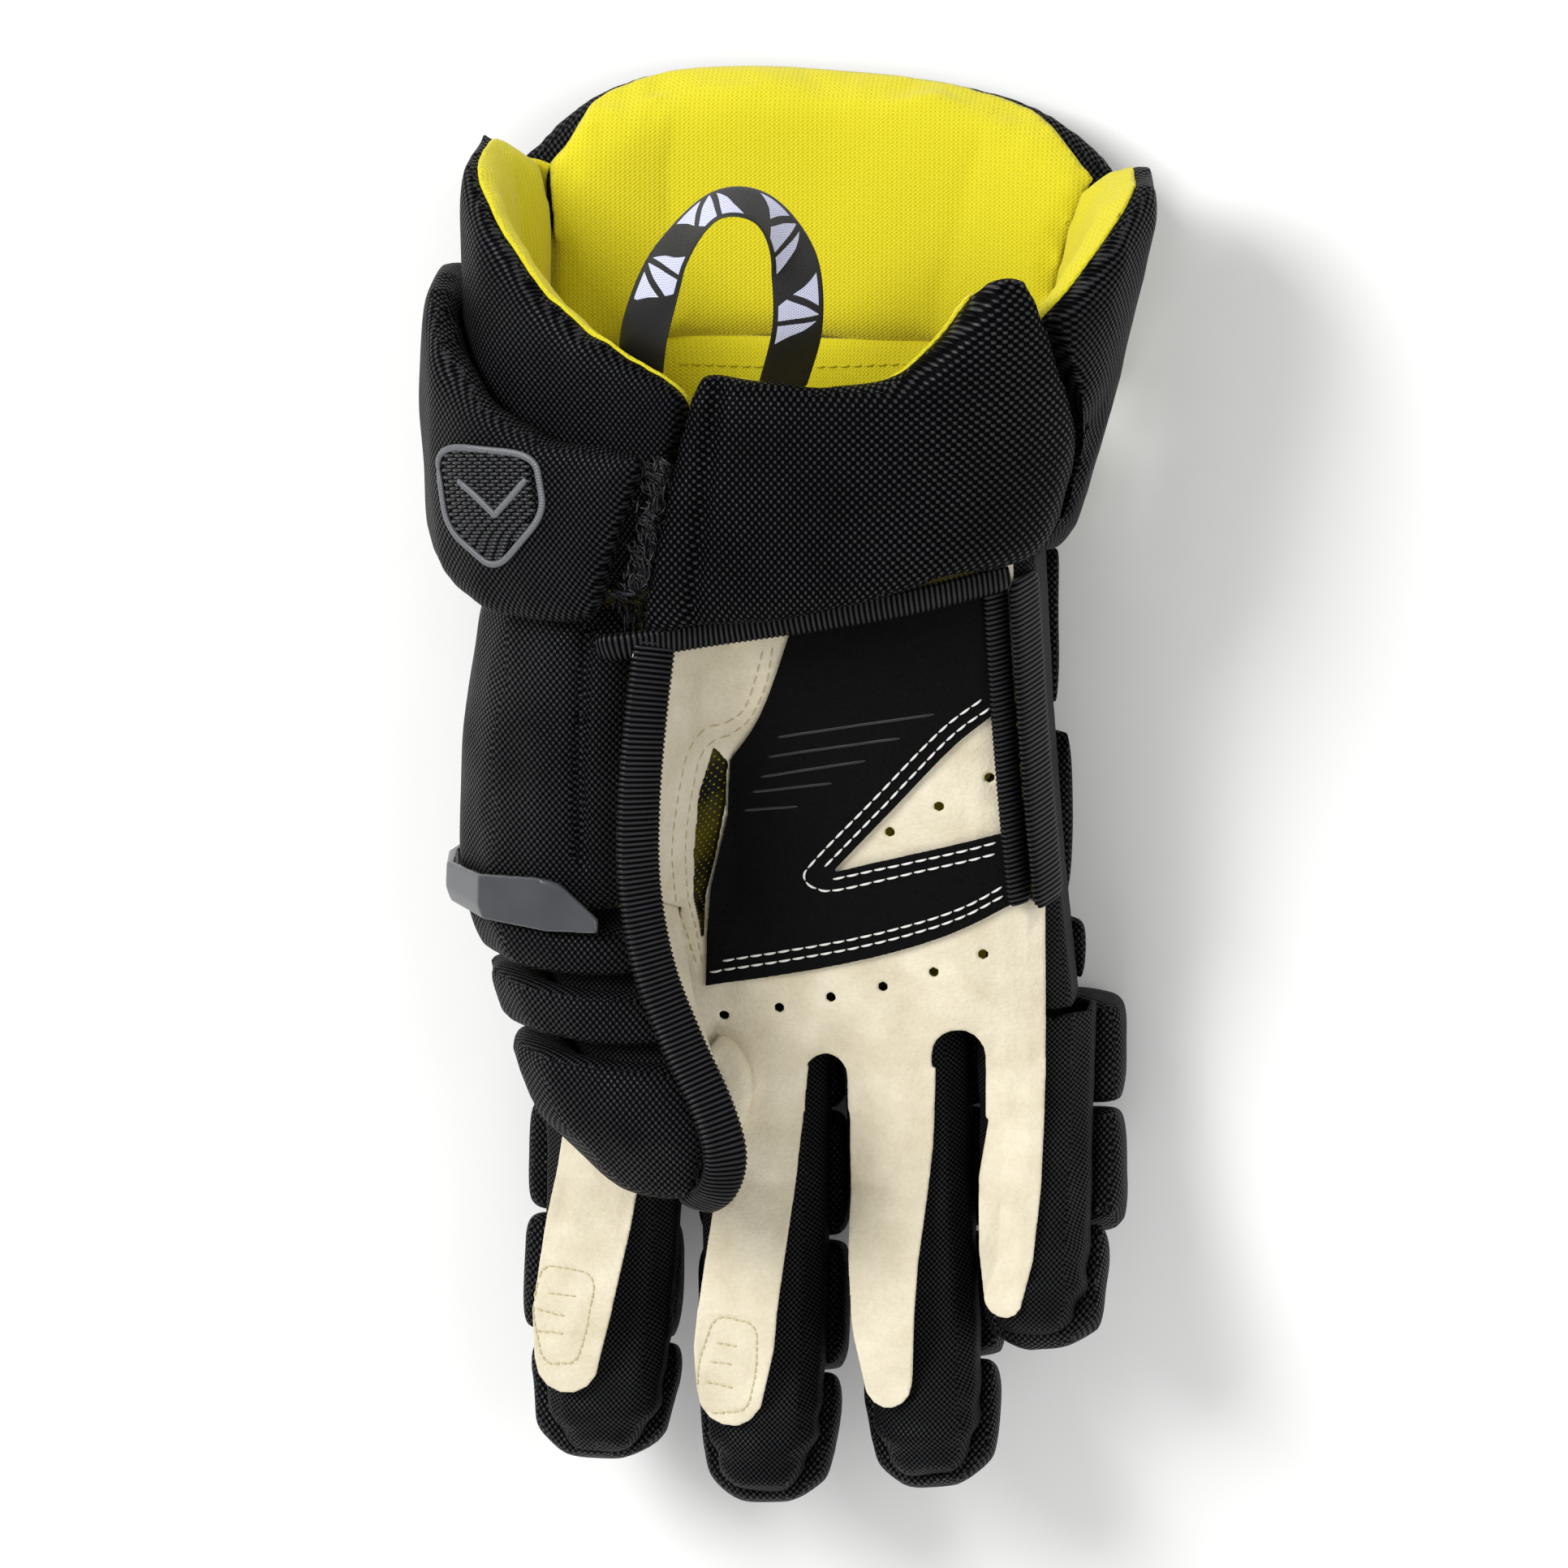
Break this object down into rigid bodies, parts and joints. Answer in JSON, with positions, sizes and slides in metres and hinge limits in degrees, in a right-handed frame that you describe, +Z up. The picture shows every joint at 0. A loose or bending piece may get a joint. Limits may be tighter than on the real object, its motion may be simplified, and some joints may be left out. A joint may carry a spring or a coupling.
{
  "type": "ice hockey glove",
  "caption": "Right-hand ice hockey glove lying on its back: padded black cuff with yellow lining, cream suede palm with black overlay, mesh fingers with foam rolls.",
  "frame": {"origin": "middle of the glove's bounding box, on the surface that the glove lies on", "axes": "+Y from the fingertips to the cuff's rim, +Z up through the palm, -X on the thumb's side"},
  "size_m": [0.1792, 0.3546, 0.1021],
  "materials": {
    "black_mesh": "coarse black polyester mesh over foam",
    "finger_mesh": "fine black stretch mesh",
    "cream_suede": "napped cream suede",
    "black_suede": "napped black suede",
    "yellow_knit": "bright yellow brushed knit on foam",
    "black_braid": "ribbed black grosgrain",
    "woven_ribbon": "black woven ribbon with pale bars",
    "grey_plastic": "glossy grey moulded plastic"
  },
  "bodies": {
    "root": {"back_cuff": "black_mesh", "back_cuff_lining": "yellow_knit", "back_lining": "yellow_knit", "backhand_pad": "black_mesh", "cuff_binding": "black_braid", "index_roll_1": "black_mesh", "index_roll_2": "black_mesh", "index_roll_3": "black_mesh", "index_roll_4": "black_mesh", "index_sleeve": "finger_mesh", "knuckle_pad": "black_mesh", "knuckle_roll": "black_mesh", "little_roll_1": "black_mesh", "little_roll_2": "black_mesh", "little_roll_3": "black_mesh", "little_sleeve": "finger_mesh", "middle_roll_1": "black_mesh", "middle_roll_2": "black_mesh", "middle_roll_3": "black_mesh", "middle_roll_4": "black_mesh", "middle_sleeve": "finger_mesh", "outer_gusset": "finger_mesh", "outer_side_cuff": "black_mesh", "outer_side_lining": "yellow_knit", "palm_cuff": "black_mesh", "palm_cuff_lining": "yellow_knit", "palm_edge_binding": "black_braid", "palm_leather": "cream_suede", "palm_overlay": "black_suede", "pull_loop": "woven_ribbon", "ring_roll_1": "black_mesh", "ring_roll_2": "black_mesh", "ring_roll_3": "black_mesh", "ring_roll_4": "black_mesh", "ring_sleeve": "finger_mesh", "side_binding": "black_braid", "thumb_badge": "grey_plastic", "thumb_base_pad": "black_mesh", "thumb_binding": "black_braid", "thumb_gusset": "finger_mesh", "thumb_roll_1": "black_mesh", "thumb_roll_2": "black_mesh", "thumb_side_cuff": "black_mesh", "thumb_side_lining": "yellow_knit", "thumb_sleeve": "cream_suede", "thumb_tip_pad": "black_mesh", "wrist_pad": "black_mesh", "wrist_wrap": "black_mesh"}
  },
  "joints": []
}
